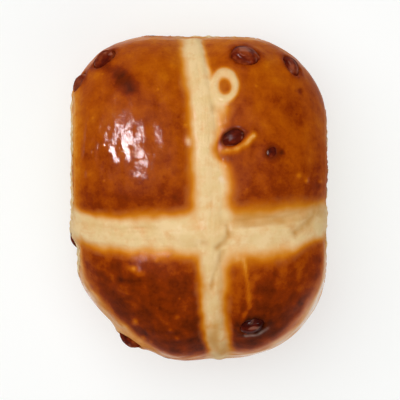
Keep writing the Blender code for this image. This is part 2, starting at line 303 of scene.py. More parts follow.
# Where the long strip's right border swells or draws in: place along the strip, reach and by how much.
SWELLS = ((26.4, 2.6, 2.4), (14.6, 3.2, -2.6), (5.6, 3.6, 0.8))

# Each strip's pale band: stations along the strip, and there how far the band's two borders lie from the middle line
# and over what width each one fades into the crust.
LONG_BAND = (
    (-46.0, -40.0, -34.0, -23.0, -12.0, 4.0, 11.0, 22.0, 30.0, 41.0, 46.0),
    (2.8, 3.8, 4.4, 3.6, 4.6, 4.8, 4.7, 4.6, 4.5, 4.3, 3.4),
    (3.2, 3.4, 3.8, 4.4, 5.4, 6.2, 5.6, 5.0, 4.6, 4.0, 3.2),
    (3.0, 2.8, 2.6, 3.4, 4.8, 5.4, 4.8, 4.2, 3.6, 2.1, 2.2),
    (3.0, 4.0, 4.4, 5.4, 6.4, 6.4, 6.4, 6.4, 4.6, 2.2, 1.8),
)
SHORT_BAND = (
    (-36.0, -30.0, -20.0, -8.6, 4.0, 13.8, 22.0, 26.0, 29.2, 36.0),
    (3.4, 4.2, 4.8, 5.8, 6.7, 7.4, 7.6, 7.1, 5.2, 4.4),
    (4.4, 6.0, 6.6, 6.8, 7.2, 8.4, 8.6, 7.4, 5.6, 3.4),
    (5.6, 4.8, 4.8, 5.3, 5.2, 5.4, 5.8, 5.6, 5.2, 4.6),
    (3.0, 4.0, 5.4, 6.0, 7.0, 8.6, 8.6, 8.0, 7.4, 5.0),
)


def side_value(along, beside, stations, low, high):
    """A strip's value at each place: from the low row below the middle line and from the high row above it."""
    return np.where(beside < 0.0, np.interp(along, stations, low), np.interp(along, stations, high))


def band_share(along, beside, band):
    """1 in a strip's band and 0 on the crust, smooth across each border. beside is below 0 at the low border."""
    stations, low, low_fade, high, high_fade = band
    border = side_value(along, beside, stations, low, high)
    fade = side_value(along, beside, stations, low_fade, high_fade)
    return smooth_step(0.5, -0.5, (abs(beside) - border) / fade)


def curl_distance(x, y):
    """Roughly how far each place, seen from above, lies from the middle line of the curl."""
    reach = np.hypot((x - CURL_CENTRE[0]) / CURL_RADIUS[0], (y - CURL_CENTRE[1]) / CURL_RADIUS[1])
    return abs(reach - 1.0) * np.mean(CURL_RADIUS)


def hump(beside, half):
    """A strip's rounded section, (1 - t^2)^1.5, with t from 0 on the middle line to 1 at the edge."""
    return np.clip(1.0 - (beside / half) ** 2, 0.0, 1.0) ** 1.5


def cross_form(points):
    """The paste's rise above the dough, and how deep inside a strip each place lies, both in millimetres.

    Where the strips and the curl meet, their humps join as 1 - (1 - a)(1 - b). Streaks run along each strip, with
    soft lumps between them, and the streaks alone are given as well.
    """
    x, y, z = points.T
    along, across = x - long_strip_x(y), y - short_strip_y(x)
    wobble = 0.35 * noise(points, 4.5, 21) + 0.15 * noise(points, 1.8, 22)
    long_half = side_value(y, along, *LONG_HALVES) + wobble
    short_half = side_value(x, across, *SHORT_HALVES) + wobble
    front_end = smooth_step(9.5, 14.0, z) * mix(0.3, 1.0, smooth_step(14.0, 30.0, z))
    long_end = np.where(y > 0.0, smooth_step(20.0, 26.0, z), front_end)
    short_end = smooth_step(20.0, 26.0, z)
    long_hump = hump(along, long_half) * long_end
    short_hump = hump(across, short_half) * short_end
    curl_hump = hump(curl_distance(x, y), CURL_HALF) * smooth_step(20.0, 26.0, z) * (y > 0.0)
    rise = 1.0 - (1.0 - LONG_RISE * long_hump) * (1.0 - SHORT_RISE * short_hump) * (1.0 - CURL_RISE * curl_hump)
    long_streaks = fractal(points, (0.9, 8.0, 3.0), 304, 3)
    short_streaks = fractal(points, (8.0, 0.9, 3.0), 204, 3)
    streaks = mix(short_streaks * short_hump, long_streaks, long_hump)
    lumps = noise(points, 4.5, 305)
    depth = np.maximum((long_half - abs(along)) * long_end, (short_half - abs(across)) * short_end)
    return rise + np.maximum(long_hump, short_hump) * (0.12 * streaks + 0.15 * lumps), depth, streaks


def paste_share(points):
    """1 in the core of the cross, fading to 0 over the crust beside it, with an uneven edge.

    The strips' and the curl's shares join as 1 - (1 - a)(1 - b)(1 - c), and each one ends at its own height.
    """
    x, y, z = points.T
    wobble = 0.7 * noise(points, 6.0, 21) + 0.3 * noise(points, 2.6, 22)
    along = x - long_strip_x(y)
    across = y - short_strip_y(x)
    swell = sum(wider * bell(y - place, reach) for place, reach, wider in SWELLS)
    long_share = band_share(y, along + np.sign(along) * wobble - swell * (along > 0.0), LONG_BAND)
    short_share = band_share(x, across + np.sign(across) * wobble, SHORT_BAND)
    long_share *= np.where(y > 0.0, smooth_step(21.0, 25.0, z), smooth_step(9.0, 13.0, z))
    short_share *= smooth_step(20.0, 24.0, z)
    curl_share = smooth_step(1.9, 0.5, curl_distance(x, y) + 0.6 * wobble) * smooth_step(15.0, 25.0, z)
    curl_share *= mix(0.97, 0.86, smooth_step(-0.3, 0.9, (y - CURL_CENTRE[1]) / CURL_RADIUS[1]))
    curl_share = np.where(y > 0.0, curl_share, 0.0)
    return 1.0 - (1.0 - long_share) * (1.0 - short_share) * (1.0 - curl_share)


# ------------------------- the raisins' places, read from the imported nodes


def raisin_frames():
    """Each raisin node's middle, axes and half sizes, in millimetres.

    The axes are the directions in which the node's points spread most, and the half sizes their reach along those.
    """
    found = {}
    for name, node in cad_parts.items():
        if not name.startswith("raisin_"):
            continue
        corners = np.empty(len(node.data.vertices) * 3, np.float32)
        node.data.vertices.foreach_get("co", corners)
        corners = np.unique(np.round(corners.reshape(-1, 3).astype(float) / MM, 3), axis=0)
        middle = (corners.min(axis=0) + corners.max(axis=0)) / 2.0
        _, axes = np.linalg.eigh(np.cov((corners - middle).T))
        axes = axes[:, ::-1]
        axes[:, 2] = np.cross(axes[:, 0], axes[:, 1])
        half = abs((corners - middle) @ axes).max(axis=0)
        found[name] = (middle, axes, half)
    return found


def socket_relief(points, raisins):
    """The crust's soft rise round each raisin and its dip under it, and how near a raisin each point is, 0 to 1.

    Both follow the distance from the raisin's middle, counted in the raisin's own half sizes.
    """
    relief = np.zeros(len(points))
    near = np.zeros(len(points))
    for name, (middle, axes, half) in raisins.items():
        reach = np.linalg.norm(((points - middle) @ axes) / half, axis=1)
        reach = reach + 0.07 * noise(points, 2.2, 24)
        rise = 0.9 if name in PROUD_RAISINS else 0.3
        relief += rise * bell(reach - 1.05, 0.45) * smooth_step(0.85, 1.05, reach)
        relief -= 1.3 * smooth_step(0.97, 0.8, reach)
        near = np.maximum(near, smooth_step(1.6, 0.9, reach))
    return relief, near


# ------------------------- what the skin wears: relief and colour fields

# Raisins that stand out of the side, with the dough drawn up round them.
PROUD_RAISINS = ("raisin_front_left",)

# Thin raised folds of the skin: points seen from above, width, height and how much paler their crest is.
FOLDS = (
    (((11.7, -15.8), (12.4, -18.6), (13.0, -23.7), (13.6, -28.9), (12.0, -31.8), (10.8, -35.4)), 0.62, 0.3, 0.32),
    (((6.0, 14.4), (9.8, 15.0), (12.4, 16.6), (14.4, 18.6)), 0.95, 0.5, 0.56),
    (((9.6, -12.6), (10.2, -15.4)), 0.6, 0.25, 0.16),
    (((10.2, -12.6), (10.6, -19.0), (9.2, -28.0), (8.0, -35.0)), 1.9, 0.0, 0.15),
    (((6.5, 31.2), (6.7, 33.4)), 1.5, 0.0, 0.13),
    (((-19.8, -18.2), (-16.8, -19.4)), 1.0, 0.3, 0.16),
    (((-14.6, -36.2), (-13.6, -39.2)), 0.7, 0.2, 0.2),
    (((-22.4, -23.8), (-20.4, -25.2)), 0.9, 0.1, 0.12),
)
# Dents in the paste: points seen from above, width, depth and how strongly painted shade darkens them.
DENTS = (
    (((4.6, -12.4), (6.2, -11.0), (7.5, -9.2), (7.2, -6.2)), 0.9, 0.45, 0.8),
    (((0.6, -11.0), (1.2, -11.3)), 0.9, 0.35, 0.5),
    (((6.0, -13.4), (5.0, -17.0), (3.5, -20.6), (2.7, -23.8)), 0.9, 0.35, 0.6),
    (((7.2, -5.6), (15.6, -5.2), (24.0, -5.6), (26.6, -7.4)), 1.3, 0.25, 0.34),
    (((26.4, -8.4), (29.4, -5.8), (33.6, -1.4)), 1.3, 0.3, 0.75),
    (((19.0, -5.0), (27.5, -3.8), (33.0, -0.4)), 1.0, 0.2, 0.5),
    (((-1.6, -12.0), (-8.0, -10.6), (-15.0, -9.8)), 1.1, 0.15, 0.14),
    (((2.0, 22.0), (2.6, 8.0), (3.2, -3.0)), 0.9, 0.12, 0.12),
    (((-33.0, -5.6), (-24.0, -7.4), (-12.0, -6.4)), 1.2, 0.15, 0.16),
    (((3.4, 25.4), (3.8, 26.6)), 0.8, 0.3, 0.4),
)
# Dark places in the crust: points seen from above, width and which share of the tone they take away. Most are
# brown patches and raisins seen through the skin; the four marked lines are painted shade.
DARK_PATCHES_AND_SHADE = (
    # Painted shadow under the mound over a hidden raisin.
    (((-22.4, -21.4), (-19.6, -22.0), (-17.0, -21.4)), 0.7, 0.4),
    (((-21.7, 34.3), (-20.1, 32.7)), 2.9, 0.74),
    (((-25.2, 37.0), (-22.6, 35.2)), 1.7, 0.32),
    (((-18.8, 31.2), (-17.0, 29.4)), 1.5, 0.25),
    (((5.4, 16.6), (6.4, 18.8), (9.0, 20.0), (11.6, 19.0)), 0.8, 0.6),
    # Painted shadow under the lip of paste below the raisin by the strip.
    (((5.6, 12.8), (8.2, 12.2)), 1.3, 0.25),
    # Painted shade round the front right raisin.
    (((12.0, -33.6), (17.0, -35.4)), 2.8, 0.45),
    # Painted shade beside the pale fold at the front right.
    (((15.9, -22.0), (15.6, -29.0)), 0.9, 0.2),
    (((22.5, 29.0), (27.5, 23.4)), 3.0, 0.22),
    (((18.0, -22.0), (20.0, -28.0)), 2.6, 0.16),
    (((-22.0, -30.4), (-21.0, -30.0)), 1.6, 0.3),
    (((-24.0, -27.0), (-26.0, -22.0)), 2.4, 0.12),
)
# How high a pale speck rises, and how deep a dark one dips.
SPECK_RISE = 0.25
# Small blisters and specks: place seen from above, radius and how much paler (darker below 0).
SPECKS = (
    (26.8, 7.4, 0.8, 0.34),
    (29.2, 6.0, 0.6, 0.28),
    (33.2, 5.6, 0.6, 0.24),
    (-6.6, -31.8, 0.8, 0.3),
    (-6.4, -38.0, 0.7, 0.28),
    (-8.4, -35.6, 0.6, 0.22),
    (-31.0, 7.6, 1.2, 0.14),
    (-18.2, -33.6, 1.1, 0.46),
    (-20.4, -35.6, 1.2, 0.34),
    (-15.8, -38.2, 0.8, 0.3),
    (-18.4, -18.0, 0.7, 0.3),
    (-12.4, -15.8, 0.6, 0.3),
    (-3.7, 17.2, 1.0, 0.5),
    (-4.4, 21.4, 0.6, 0.3),
    (28.0, 30.8, 0.8, -0.26),
    (22.4, 14.0, 0.8, -0.28),
    (-12.0, 27.0, 0.6, -0.1),
    (-30.6, -24.2, 0.8, -0.2),
    (-23.6, 36.0, 0.7, 0.1),
    (-8.0, 38.0, 0.8, 0.1),
    (24.0, -20.0, 1.2, 0.06),
)
# Painted glints and reflections, whitish lines on the glaze: points seen from above, width and strength.
PAINTED_GLINTS = (
    (((12.6, -37.4), (16.2, -37.0), (18.8, -35.2)), 0.4, 0.22),
    (((28.6, 40.2), (31.0, 36.8)), 0.9, 0.4),
    (((-3.9, 17.9), (-3.5, 16.2)), 0.6, 0.35),
    (((5.4, 6.8), (6.0, 5.6)), 0.6, 0.4),
)
# Places where the glaze soaked in and hardly shines: middle seen from above, reach and how much duller.
DULL = (
    (-18.4, -17.0, 5.5, 0.97),
    (8.6, 15.0, 5.0, 0.95),
    (-20.4, 32.0, 6.5, 1.0),
    (-19.6, 26.6, 3.4, 1.0),
    (-11.4, 18.6, 2.6, 0.75),
    (-13.1, -15.5, 3.4, 0.9),
    (6.6, 11.7, 2.0, 0.7),
)


def line_nearness(points, route, width):
    """A bell of each point's distance, seen from above, from a line through the route's points."""
    nearest = np.full(len(points), np.inf)
    flat = points[:, :2]
    for start, end in zip(np.array(route[:-1]), np.array(route[1:])):
        step = end - start
        share = np.clip((flat - start) @ step / (step @ step), 0.0, 1.0)
        nearest = np.minimum(nearest, np.linalg.norm(flat - start - share[:, None] * step, axis=1))
    return bell(nearest, width)


# The front's two corners, as angles round the bun from its right side, and how far round each one reaches.
FRONT_RIGHT_CORNER = -0.84
FRONT_LEFT_CORNER = -2.3
CORNER_REACH = 0.35
# Left of the brightest gloss single small glints show: their middle and their reach, sideways and lengthways.
SMALL_GLINTS_MIDDLE = (-28.5, 15.0)
SMALL_GLINTS_REACH = (5.0, 9.0)
CROWN_TONE = 0.37
BASE_TONE = 0.36
SIDE_TONE = 0.53
PASTE_TONE = 0.98


def corner_nearness(points, corner):
    """A bell of the angle round the bun, highest at one of the front's corners."""
    return bell(np.arctan2(points[:, 1], points[:, 0]) - corner, CORNER_REACH)


def glint_patch(points):
    """A bell each way round the place of the small glints."""
    (middle_x, middle_y), (reach_x, reach_y) = SMALL_GLINTS_MIDDLE, SMALL_GLINTS_REACH
    return bell(points[:, 0] - middle_x, reach_x) * bell(points[:, 1] - middle_y, reach_y)


def crown_tone(points, crush, near):
    """The unpasted crust's tone: from 0, nearly burnt, over browns to about 0.5, golden.

    It is darkest at the front, browned and in painted shade, and paler where a neighbour shaded it.
    """
    x, y, z = points.T
    paler_back = 0.06 * smooth_step(22.0, 46.0, y)
    # Darker towards the front: browning, with painted shade on top.
    front_browning_and_shade = 0.21 * smooth_step(-2.0, -38.0, y)
    # Painted shade on the slope that drops forward to the left-to-right strip.
    painted_shade_above_strip = 0.08 * bell(y - 2.0, 9.0) * smooth_step(-8.0, 2.0, y)
    patches = 0.05 * fractal(points, 17.0, 71, 3) + 0.05 * fractal(points, 4.0, 72, 3)
    front_patches = 0.1 * fractal(points, 3.2, 74, 3) * smooth_step(-8.0, -18.0, y)
    left_border = 0.2 * smooth_step(-31.5, -35.2, x)
    pressed_border = 0.14 * bell(crush - 0.5, 0.35) * (crush > 0.05)
    paler_side = mix(0.1, 0.25, smooth_step(-8.0, -28.0, y)) * smooth_step(30.0, 18.0, z)
    tone = CROWN_TONE + paler_back - front_browning_and_shade - painted_shade_above_strip + patches + front_patches
    # Darker round each raisin: painted shade where it sits in its socket.
    return tone + left_border + pressed_border + paler_side - 0.14 * near


def front_side(points, facing):
    """The front's steep side, which baked paler, in streaks round the bun, most of all at its right corner.

    It gives the side's tone, the share in which that takes over from the crown's, and the strength of a painted
    milky reflection along the rim where the crown turns down. facing is how far the skin's normal points up.
    """
    y = points[:, 1]
    right = corner_nearness(points, FRONT_RIGHT_CORNER)
    left = corner_nearness(points, FRONT_LEFT_CORNER)
    streaks = noise(points, (8.0, 8.0, 2.6), 48)
    paler_shoulder = (0.09 + 0.2 * right + 0.12 * left) * bell(facing - 0.25, 0.25)
    steep = smooth_step(0.54, 0.24, facing - 0.14 * right - 0.1 * left) * smooth_step(-6.0, -16.0, y)
    # Painted reflection along the front rim, strongest at the right corner.
    rim = bell(facing - 0.27, 0.12 + 0.08 * right) * smooth_step(-8.0, -18.0, y) * np.clip(0.75 + streaks, 0.0, 1.3)
    return SIDE_TONE + paler_shoulder + 0.14 * streaks, steep, (0.07 + 0.62 * right) * rim


def torn_share(points, crush):
    """1 where a neighbour's pull tore the skin off, by how far it was pressed in, with a ragged edge of noise."""
    ragged = 0.35 * noise(points, 6.0, 31) + 0.3 * noise(points, 2.2, 32) + 0.2 * noise(points, 0.9, 33)
    return smooth_step(0.7, 1.15, crush + ragged) * smooth_step(1.5, 4.5, points[:, 2] + 2.0 * ragged)


def torn_relief(points, crush, torn):
    """The open crumb's fibres, lumps and holes, as layers of noise, and a raised lip of skin round it."""
    fibres = fractal(points, (2.2, 2.2, 6.5), 51, 4)
    holes = smooth_step(0.25, 0.6, noise(points, (2.6, 2.6, 3.2), 52))
    crumb = 0.15 + 0.5 * fibres + 0.25 * noise(points, 7.0, 53) - 0.55 * holes
    lip = 0.25 * bell(torn - 0.15, 0.12) * (crush > 0.2)
    return torn * crumb + lip


def wrinkle_relief(points):
    """Wrinkles that run front to back: three layers of noise, strongest on the left back quarter.

    The finest layer is steeper where the small glints show.
    """
    x, y, _ = points.T
    strength = mix(0.4, 1.0, smooth_step(4.0, -6.0, x) * smooth_step(-4.0, 6.0, y))
    wide = 0.3 * noise(points, (5.0, 17.0, 13.0), 43)
    narrow = 0.17 * noise(points, (3.4, 6.5, 6.0), 45)
    fine = (0.06 + 0.2 * glint_patch(points)) * fractal(points, (1.9, 3.6, 3.6), 42, 2)
    return strength * (wide + narrow + fine)


def skin_marks(points, facing):
    """The folds, dents, dark places and specks of the tables above, each a bell round its line or place.

    It gives their relief, how much paler their crests are, the dents' painted shade, and the share of the tone
    that the dark places leave, some of them painted shade.
    """
    x, y, _ = points.T
    top = smooth_step(0.1, 0.5, facing)
    uneven = 0.75 + 0.5 * noise(points, 2.4, 44)
    relief, crest, shade_and_stain = np.zeros((3, len(points)))
    left = np.ones(len(points))
    for route, width, height, paler in FOLDS:
        line = line_nearness(points, route, width) * top * uneven
        relief += height * line
        crest += paler * line
    for route, width, dent, strength in DENTS:
        line = line_nearness(points, route, width) * top * uneven
        relief -= dent * line
        # A dent is darkened with painted shade.
        shade_and_stain = np.maximum(shade_and_stain, strength * line)
    # Dark patches and painted shade take away a share of the tone.
    for route, width, darker in DARK_PATCHES_AND_SHADE:
        left *= 1.0 - darker * line_nearness(points, route, width) * top * np.clip(uneven + 0.25, 0.0, 1.2)
    for speck_x, speck_y, radius, paler in SPECKS:
        speck = bell(np.hypot(x - speck_x, y - speck_y), radius) * top * uneven
        relief += np.sign(paler) * SPECK_RISE * speck
        crest += paler * speck
    return relief, crest, shade_and_stain, left


def glaze_film(points):
    """The painted glints' strength along their lines, broken up by noise, and none near the floor."""
    broken = np.clip(0.65 + 1.3 * noise(points, 1.9, 46), 0.0, 1.0)
    film = np.zeros(len(points))
    for route, width, strength in PAINTED_GLINTS:
        film = np.maximum(film, strength * line_nearness(points, route, width) * broken)
    return film * smooth_step(6.0, 12.0, points[:, 2])


def paste_shade_and_stain(points):
    """Golden darkening in the paste: streaky painted shade on the right arm's back, stained blotches on the front
    arm.
    """
    x, y, _ = points.T
    across = y - short_strip_y(x)
    # The right arm's darkening is painted shade on the slope behind it, which faces away from the light.
    along_arm = smooth_step(6.0, 12.0, x) * mix(1.0, 0.7, smooth_step(22.0, 26.0, x)) * smooth_step(36.0, 33.0, x)
    across_arm = smooth_step(0.4, 2.2, across) * smooth_step(11.0, 5.0, across)
    shade = np.clip(0.95 + 0.55 * fractal(points, (9.0, 1.6, 3.0), 205, 2), 0.3, 1.5)
    front = mix(smooth_step(-12.0, -20.0, y), 2.3, smooth_step(-28.0, -42.0, y))
    blotches = np.clip(0.7 + 1.2 * noise(points, (3.2, 6.0, 6.0), 206), 0.0, 1.6)
    return np.maximum(0.68 * along_arm * across_arm * shade, 0.26 * front * blotches)


def glaze_gloss(points, facing, near):
    """How much the glaze shines, 0 to 1: on the crown, and in glints along the rim where it turns down.

    It is dull near the floor, round the raisins and in the places of the table.
    """
    x, y, z = points.T
    crown = smooth_step(0.74, 0.9, facing + 0.16 * glint_patch(points))
    back_rim, front_rim = 0.45 * smooth_step(0.3, 0.1, facing), smooth_step(0.46, 0.26, facing)
    rim = mix(back_rim, front_rim, smooth_step(-8.0, -16.0, y))
    rim *= 1.0 + 0.5 * corner_nearness(points, FRONT_RIGHT_CORNER)
    glints = np.clip(0.4 + 1.6 * noise(points, (5.0, 5.0, 1.7), 47), 0.0, 1.0)
    gloss = (crown + rim * glints) * smooth_step(0.5, 4.0, z) * mix(0.25, 1.0, smooth_step(9.0, 20.0, z))
    gloss *= 1.0 - smooth_step(0.25, 0.8, near)
    for dull_x, dull_y, reach, duller in DULL:
        gloss *= 1.0 - duller * bell(np.hypot(x - dull_x, y - dull_y), reach)
    return gloss


def dressed(points, crush, facing, raisins):
    """What the dough's skin wears at each of its points: relief along the normal, and the fields of its colour.

    The crust and the paste both take theirs from here, so that the paste melts into the crust. facing is how far the
    skin's normal points up. It also gives how deep inside a strip of paste each point lies.
    """
    torn = torn_share(points, crush)
    base = base_share(points[:, 2], facing)
    skin = (1.0 - torn) * (1.0 - base)
    rise, depth, streaks = cross_form(points)
    share = paste_share(points) * (1.0 - torn)
    bare = skin * (1.0 - smooth_step(-0.5, 1.5, depth))
    sockets, near = socket_relief(points, raisins)
    marks, crest, shade_and_stain, left = skin_marks(points, facing)
    side_tone, steep, painted_rim_sheen = front_side(points, facing)

    relief = skin * 0.3 * fractal(points, 15.0, 41, 3) + bare * wrinkle_relief(points)
    relief += torn_relief(points, crush, torn) + base * 0.12 * noise(points, 3.0, 61)
    relief += rise + sockets + marks

    tone = mix(crown_tone(points, crush, near), side_tone, steep)
    tone = np.clip(mix(tone, BASE_TONE, base) + crest, 0.02, 1.0)
    front_duller = 0.03 * smooth_step(8.0, -36.0, points[:, 1])
    paste_tone = PASTE_TONE + 0.06 * streaks + 0.12 * fractal(points, 4.0, 73, 3) - front_duller
    fields = {
        # Dark patches and painted shade darken crust and paste alike.
        "tone": mix(tone, paste_tone, share) * left,
        "torn": torn,
        "gloss": skin * mix(1.0, 0.22, share) * glaze_gloss(points, facing, near),
        "paste": share,
        "shade_and_stain": np.maximum(shade_and_stain, share * paste_shade_and_stain(points)),
        # Painted glints, and a painted reflection along the front rim.
        "film": np.maximum(glaze_film(points), painted_rim_sheen * (1.0 - share) * skin),
    }
    return relief, depth, fields


def crust_piece(raisins):
    """The whole bun's skin in one closed mesh. Under the middle of the paste it lies half a millimetre deeper."""
    directions, quads = ball_grid(CRUST_STEPS)
    points, crush = dough_skin(directions)
    normals = vertex_normals(points, quads)
    relief, depth, fields = dressed(points, crush, normals[:, 2], raisins)
    relief -= 0.5 * smooth_step(1.6, 3.0, depth)
    places = points + normals * relief[:, None]
    off_base = 1.0 - base_share(points[:, 2], normals[:, 2])
    places[:, 2] = np.maximum(places[:, 2], 0.02 * off_base)
    return make_mesh("crust", places, quads, **fields)


# ------------------------- the paste cross


def turning_point(low, high, beyond, shape, halvings):
    """The value at which beyond(value) turns true, for each place of an array: its range is halved over and over."""
    low, high = np.full(shape, low), np.full(shape, high)
    for _ in range(halvings):
        middle = (low + high) / 2.0
        over = beyond(middle)
        high = np.where(over, middle, high)
        low = np.where(over, low, middle)
    return middle


def skin_along(angles, offsets, line, turned):
    """Points of the dough's skin at given distances beside a strip's middle line.

    angles turn from straight up towards +Y (or +X when turned). For each, the sideways lean of the direction is
    sought at which the point's distance beside the line is the offset that was asked for.
    """

    def skin(lean):
        side, along, up = np.sin(lean), np.cos(lean) * np.sin(angles), np.cos(lean) * np.cos(angles)
        parts = (along, side, up) if turned else (side, along, up)
        points, _ = dough_skin(np.stack([part.ravel() for part in parts], axis=1))
        return points.reshape(*angles.shape, 3)

    def too_far(lean):
        x, y, _ = np.moveaxis(skin(lean), -1, 0)
        return (y - line(x) if turned else x - line(y)) > offsets

    return skin(turning_point(-1.25, 1.25, too_far, angles.shape, halvings=30))


def skin_from_above(x, y):
    """The crown's points at given places seen from above: the direction's lean is sought that reaches as far out."""
    azimuth, goal = np.arctan2(y, x), np.hypot(x, y)

    def skin(lean):
        flat = np.sin(lean)
        return dough_skin(np.stack([flat * np.cos(azimuth), flat * np.sin(azimuth), np.cos(lean)], axis=1))[0]

    def too_far(lean):
        return np.hypot(*skin(lean)[:, :2].T) > goal

    return skin(turning_point(0.0, 1.57, too_far, x.shape, halvings=34))


def grid_normals(grid):
    """Normals of a grid of points, pointing up or outwards: the cross product of its two slopes."""
    along, across = np.gradient(grid, axis=0), np.gradient(grid, axis=1)
    normals = np.cross(across, along)
    normals /= np.maximum(np.linalg.norm(normals, axis=2, keepdims=True), 1e-9)
    return normals * np.sign(np.sum(normals * (grid - HEART), axis=2, keepdims=True))


def joined_shell(top, bottom, fields, closed):
    """One closed shell from two grids of the same size, and the top's fields carried on to its underside.

    A ring runs round each station, over the top and back underneath. Quads join each ring to the next one, and the
    two ends are filled or, where closed says so, joined to each other.
    """
    ring = np.concatenate([top, bottom[:, ::-1]], axis=1)
    stations, count = ring.shape[:2]
    index = np.arange(stations * count).reshape(stations, count)
    rows = np.concatenate([index, index[:1]]) if closed else index
    after = np.roll(rows, -1, axis=1)
    quads = [np.stack([rows[:-1], after[:-1], after[1:], rows[1:]], axis=-1).reshape(-1, 4)]
    if not closed:
        for row, flip in ((index[0], True), (index[-1], False)):
            upper, lower = row[: count // 2], row[count // 2 :][::-1]
            cap = np.stack([upper[:-1], upper[1:], lower[1:], lower[:-1]], axis=-1)
            quads.append(cap[:, ::-1] if flip else cap)
    points = ring.reshape(-1, 3)
    rings = {key: np.concatenate([value, value[:, ::-1]], axis=1).ravel() for key, value in fields.items()}
    return points, facing_out(points, np.concatenate(quads)), rings


def facing_out(points, quads):
    """The quads turned round if the shell they make is inside out, by the sign of its volume."""
    a, b, c, d = (points[quads[:, corner]] for corner in range(4))
    volume = np.sum(a * np.cross(b, c)) + np.sum(a * np.cross(c, d))
    return quads if volume > 0 else quads[:, ::-1]


# How far a strip's edge lies under the crust, how far its top rises from there and over what distance, and how far
# below the skin its underside lies.
EDGE_SINK = 0.14
EDGE_LIFT = 0.2
EDGE_SLOPE = 1.7
SHELL_DEPTH = 1.1


def shell_over(skin, edge_distance, extra, raisins):
    """The top and the underside of a layer of paste over a grid of the dough's skin, and the fields of its colour.

    The top wears what the skin wears and lies just under the crust at its edges, and just over it further in, so
    that no step shows. The underside lies a fixed depth below the skin.
    """
    normals = grid_normals(skin)
    flat = skin.reshape(-1, 3)
    relief, _, fields = dressed(flat, np.zeros(len(flat)), normals[..., 2].ravel(), raisins)
    lift = extra - EDGE_SINK + EDGE_LIFT * smooth_step(0.0, EDGE_SLOPE, edge_distance)
    top = skin + normals * (relief.reshape(lift.shape) + lift)[..., None]
    bottom = skin - normals * SHELL_DEPTH
    return top, bottom, {key: value.reshape(lift.shape) for key, value in fields.items()}


def strip_shell(raisins, line, turned, ends, halves, round_ends, extra, stations, width=27):
    """A strip's shell, from a grid that runs along its middle line and from edge to edge.

    round_ends gives the share of its length over which each end narrows as a half ellipse, and extra is how much
    higher than usual it lies.
    """
    run = np.linspace(ends[0], ends[1], stations)
    t = np.linspace(-1.0, 1.0, width)
    reach = abs(ends[1] - ends[0])
    from_start, from_end = (run - ends[0]) / reach, (ends[1] - run) / reach
    narrow = np.ones(stations)
    for distance, length in ((from_start, round_ends[0]), (from_end, round_ends[1])):
        inside = np.clip(distance / length, 0.02, 1.0)
        narrow *= np.sqrt(1.0 - (1.0 - inside) ** 2)
    angles = np.repeat(run[:, None], width, axis=1)
    middle = skin_along(run[:, None], np.zeros((stations, 1)), line, turned)
    along = middle[:, 0, 0] if turned else middle[:, 0, 1]
    half = side_value(along[:, None], t[None], *halves) * narrow[:, None]
    skin = skin_along(angles, t[None] * half, line, turned)
    top, bottom, fields = shell_over(skin, half * (1.0 - abs(t[None])), extra, raisins)
    return joined_shell(top, bottom, fields, closed=False)


def curl_shell(raisins, steps=200, width=13):
    """The curl's shell: a flat ring of paste round an oval hole, its grid running round and from edge to edge."""
    turn = np.linspace(0.0, 2.0 * math.pi, steps + 1)[:-1]
    beside = np.linspace(-CURL_HALF, CURL_HALF, width)
    x = CURL_CENTRE[0] + (CURL_RADIUS[0] + beside[None]) * np.cos(turn)[:, None]
    y = CURL_CENTRE[1] + (CURL_RADIUS[1] + beside[None]) * np.sin(turn)[:, None]
    skin = skin_from_above(x.ravel(), y.ravel()).reshape(steps, width, 3)
    # One more row at each end lets the slopes run on round the ring.
    wrapped = np.concatenate([skin[-1:], skin, skin[:1]])
    edge = np.broadcast_to(CURL_HALF - abs(beside[None]), (steps + 2, width))
    top, bottom, fields = shell_over(wrapped, edge, -0.03, raisins)
    fields = {key: value[1:-1] for key, value in fields.items()}
    return joined_shell(top[1:-1], bottom[1:-1], fields, closed=True)


def paste_piece(raisins):
    """The cross: the left-to-right strip, the front-to-back one over it, and the curl."""
    short_ends, long_ends = np.radians((-81.0, 77.5)), np.radians((-106.0, 78.0))
    shells = (
        strip_shell(
            raisins, short_strip_y, True, short_ends, SHORT_HALVES, round_ends=(0.012, 0.02), extra=0.0, stations=520
        ),
        strip_shell(
            raisins, long_strip_x, False, long_ends, LONG_HALVES, round_ends=(0.05, 0.015), extra=0.05, stations=600
        ),
        curl_shell(raisins),
    )
    first = np.cumsum([0] + [len(points) for points, _, _ in shells])
    quads = np.concatenate([quads + start for (_, quads, _), start in zip(shells, first)])
    fields = {key: np.concatenate([rings[key] for _, _, rings in shells]) for key in shells[0][2]}
    return make_mesh("paste_cross", np.concatenate([points for points, _, _ in shells]), quads, **fields)


# ------------------------- the raisins

# How pale each raisin's skin looks under the glaze: below 0 it is darker, and the others are at the last number.
PALENESS = {
    "raisin_back_right": 0.15,
    "raisin_left_corner": 0.1,
    "raisin_left_shoulder": 0.25,
    "raisin_front_right": -1.6,
    "raisin_small": -0.8,
    "raisin_by_strip": -0.9,
}
OTHER_PALENESS = -0.2
# Raisins with a painted milky reflection on them, and how strong it is.
PAINTED_SHEEN_RAISINS = {"raisin_left_shoulder": 0.03, "raisin_right_corner": 0.04}


